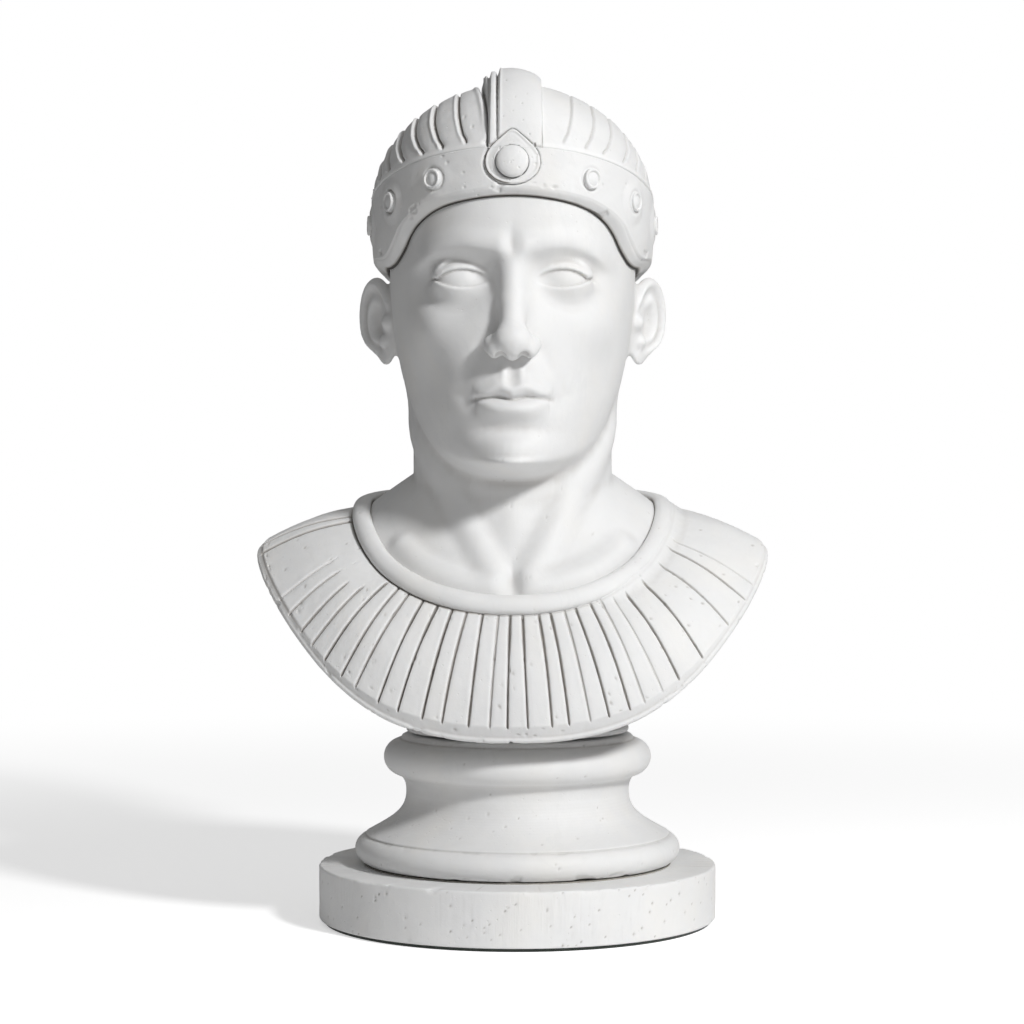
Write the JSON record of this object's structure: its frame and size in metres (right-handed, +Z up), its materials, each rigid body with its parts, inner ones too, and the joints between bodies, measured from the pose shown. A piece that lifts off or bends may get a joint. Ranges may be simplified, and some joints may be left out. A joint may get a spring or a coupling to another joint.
{
  "type": "marble bust",
  "caption": "Marble head-and-shoulders bust in a ribbed, banded cap and a pleated collar, on a turned socle and a round plinth; it turns on a steel spindle.",
  "frame": {"origin": "centre of the underside of the plinth, on the axis on which the bust turns", "axes": "+Z up along the spindle, +X towards the figure's left shoulder (the viewer's right), the face looks along -Y"},
  "size_m": [0.1796, 0.14, 0.298],
  "materials": {
    "marble": "honed, matt",
    "steel": "bright drawn",
    "brass": "turned",
    "felt": "wool felt",
    "mortar": "lime mortar, matt"
  },
  "bodies": {
    "base": {"felt_pad": "felt", "plinth": "marble", "plinth_bed": "mortar", "socle": "marble", "spindle": "steel", "lower_washer": "steel", "lower_nut": "steel", "upper_washer": "steel", "upper_nut": "steel", "thrust_washer": "brass"},
    "bust": {"bust_foot": "marble", "spindle_bush": "brass", "bush_plug": "brass", "foot_bed": "mortar", "collar_bust": "marble", "neckline_roll": "marble", "head_and_neck": "marble", "neck_dowel": "steel", "cap_band": "marble", "cap_dome": "marble", "cap_crest": "marble", "cap_dowels": "steel", "medallion_frame": "marble", "medallion_boss": "marble", "band_studs": "marble"}
  },
  "joints": [
    {"name": "bust_turn", "type": "hinge", "parent": "base", "child": "bust", "pos_m": [0, 0, 0.0664], "axis": [0, 0, 1], "continuous": true}
  ]
}
